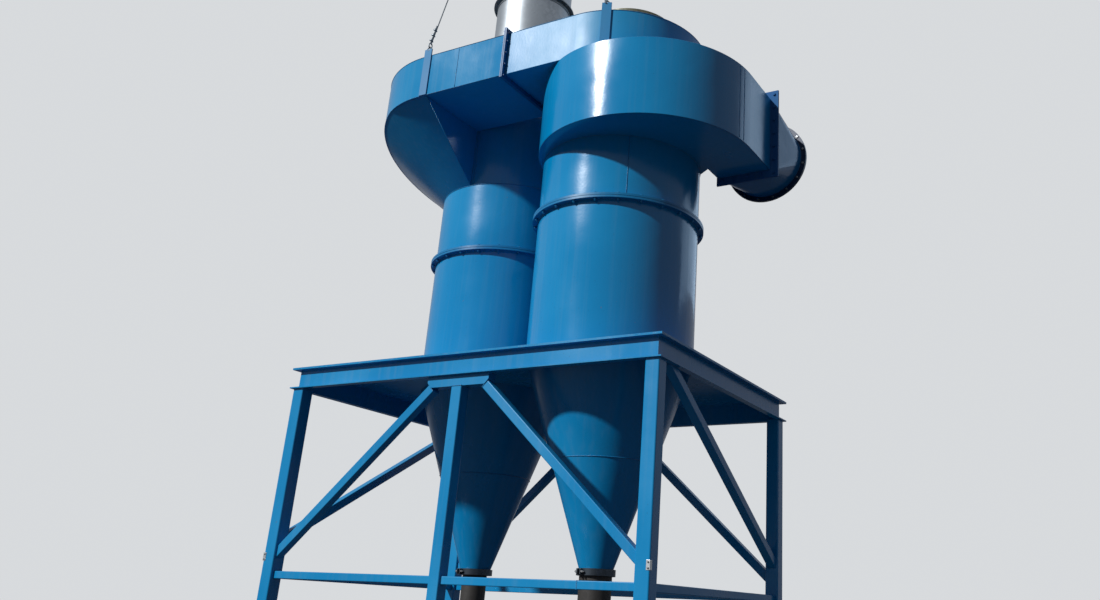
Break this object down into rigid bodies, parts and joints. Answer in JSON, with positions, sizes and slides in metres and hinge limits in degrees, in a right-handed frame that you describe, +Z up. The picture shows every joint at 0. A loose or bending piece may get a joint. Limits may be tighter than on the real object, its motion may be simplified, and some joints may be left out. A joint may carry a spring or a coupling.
{
  "type": "twin cyclone separator on a support frame",
  "caption": "Two-stage cyclone dust separator: scroll inlets, cones and exhaust stack, carried on a braced steel frame with a deck plate.",
  "frame": {"origin": "centre of the whole part's bounding box, on the ground", "axes": "+X to the right along the frame's front, +Y from the front to the back, +Z up"},
  "size_m": [3.592, 2.256, 10.349],
  "materials": {
    "blue_paint": "glossy bright blue machine paint, a little weathered",
    "dark_blue_paint": "dark blue paint, semi gloss",
    "galvanised_steel": "galvanised sheet with a faint spangle",
    "wire_rope": "galvanised wire rope, dull",
    "dark_pipe": "dark brown-grey coated pipe, matt"
  },
  "bodies": {
    "root": {"foot_plates": "blue_paint", "front_left_post": "blue_paint", "front_right_post": "blue_paint", "back_left_post": "blue_paint", "back_right_post": "blue_paint", "front_middle_post": "blue_paint", "back_middle_post": "blue_paint", "deck_plate": "blue_paint", "front_deck_beam": "blue_paint", "back_deck_beam": "blue_paint", "left_deck_beam": "blue_paint", "right_deck_beam": "blue_paint", "front_header": "blue_paint", "back_header": "blue_paint", "front_left_brace": "blue_paint", "front_right_brace": "blue_paint", "back_left_brace": "blue_paint", "back_right_brace": "blue_paint", "left_side_brace": "blue_paint", "right_side_brace": "blue_paint", "front_lower_beams": "blue_paint", "back_lower_beams": "blue_paint", "side_lower_beams": "blue_paint", "primary_cone": "blue_paint", "secondary_cone": "blue_paint", "primary_barrel": "blue_paint", "secondary_barrel": "blue_paint", "barrel_joint_rings": "blue_paint", "primary_inlet_scroll": "blue_paint", "primary_roof": "blue_paint", "inlet_flange": "blue_paint", "inlet_transition": "blue_paint", "inlet_collar": "dark_blue_paint", "outlet_scroll": "blue_paint", "outlet_scroll_roof": "blue_paint", "cross_duct_flanges": "blue_paint", "secondary_inlet_scroll": "blue_paint", "secondary_roof": "blue_paint", "capped_stub": "galvanised_steel", "exhaust_stack": "galvanised_steel", "guy_ring": "galvanised_steel", "guy_wires": "wire_rope", "lifting_lugs": "blue_paint", "clamp_collars": "dark_blue_paint", "dust_pipes": "dark_pipe"}
  },
  "joints": []
}
